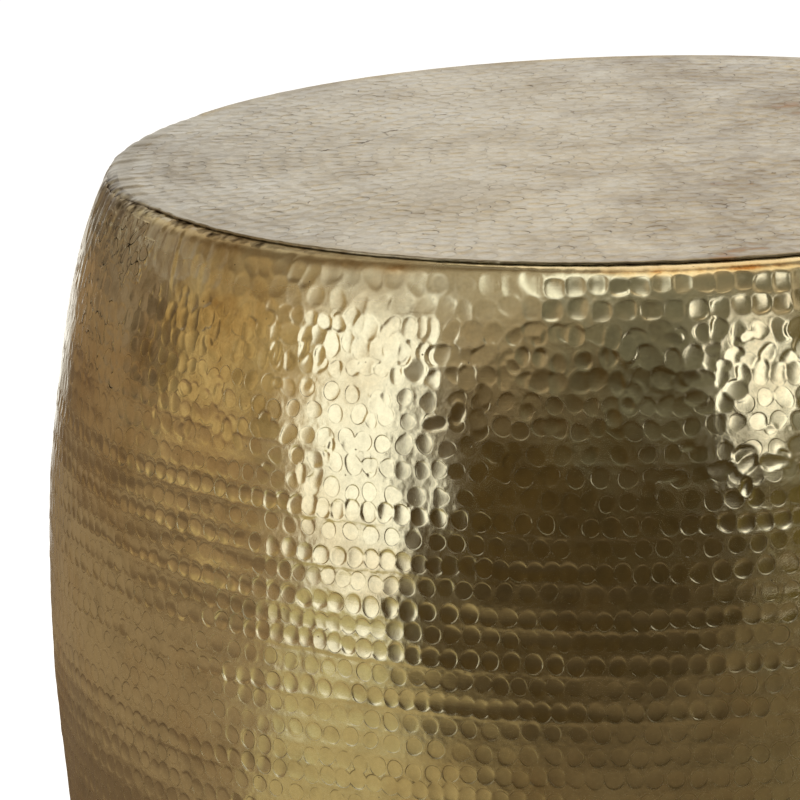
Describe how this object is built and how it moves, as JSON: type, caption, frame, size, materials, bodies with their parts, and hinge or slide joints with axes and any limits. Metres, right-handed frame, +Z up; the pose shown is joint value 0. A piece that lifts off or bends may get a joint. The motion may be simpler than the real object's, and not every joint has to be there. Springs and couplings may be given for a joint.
{
  "type": "round drum coffee table",
  "caption": "Barrel-shaped drum coffee table of hammered brass sheet with a flat round top, standing on rubber feet inside its lower hem.",
  "frame": {"origin": "on the floor at the middle of the table", "axes": "+Z up through the middle of the top; -Y faces the viewer of the picture"},
  "size_m": [0.56, 0.56, 0.44],
  "materials": {
    "hammered_brass_wall": "hand-hammered in rows, aged and lacquered to a satin shine",
    "hammered_brass_top": "hand-hammered in rings, softly dulled",
    "steel_wire": "drawn",
    "black_iron": "brushed-on black paint",
    "fibreboard": "raw fibreboard",
    "black_rubber": "moulded, matt",
    "zinc_screw": "zinc plated"
  },
  "bodies": {
    "root": {"barrel_shell": "hammered_brass_wall", "hem_wire": "steel_wire", "top_plate": "hammered_brass_top", "board_ring": "black_iron", "cross_strap_long": "black_iron", "cross_strap_back": "black_iron", "cross_strap_front": "black_iron", "board_screw_1": "zinc_screw", "board_screw_2": "zinc_screw", "board_screw_3": "zinc_screw", "board_screw_4": "zinc_screw", "board_screw_5": "zinc_screw", "board_screw_6": "zinc_screw", "board_screw_7": "zinc_screw", "board_screw_8": "zinc_screw", "top_board": "fibreboard", "base_ring": "black_iron", "foot_1": "black_rubber", "foot_screw_1": "zinc_screw", "foot_2": "black_rubber", "foot_screw_2": "zinc_screw", "foot_3": "black_rubber", "foot_screw_3": "zinc_screw", "foot_4": "black_rubber", "foot_screw_4": "zinc_screw", "foot_5": "black_rubber", "foot_screw_5": "zinc_screw", "foot_6": "black_rubber", "foot_screw_6": "zinc_screw"}
  },
  "joints": []
}
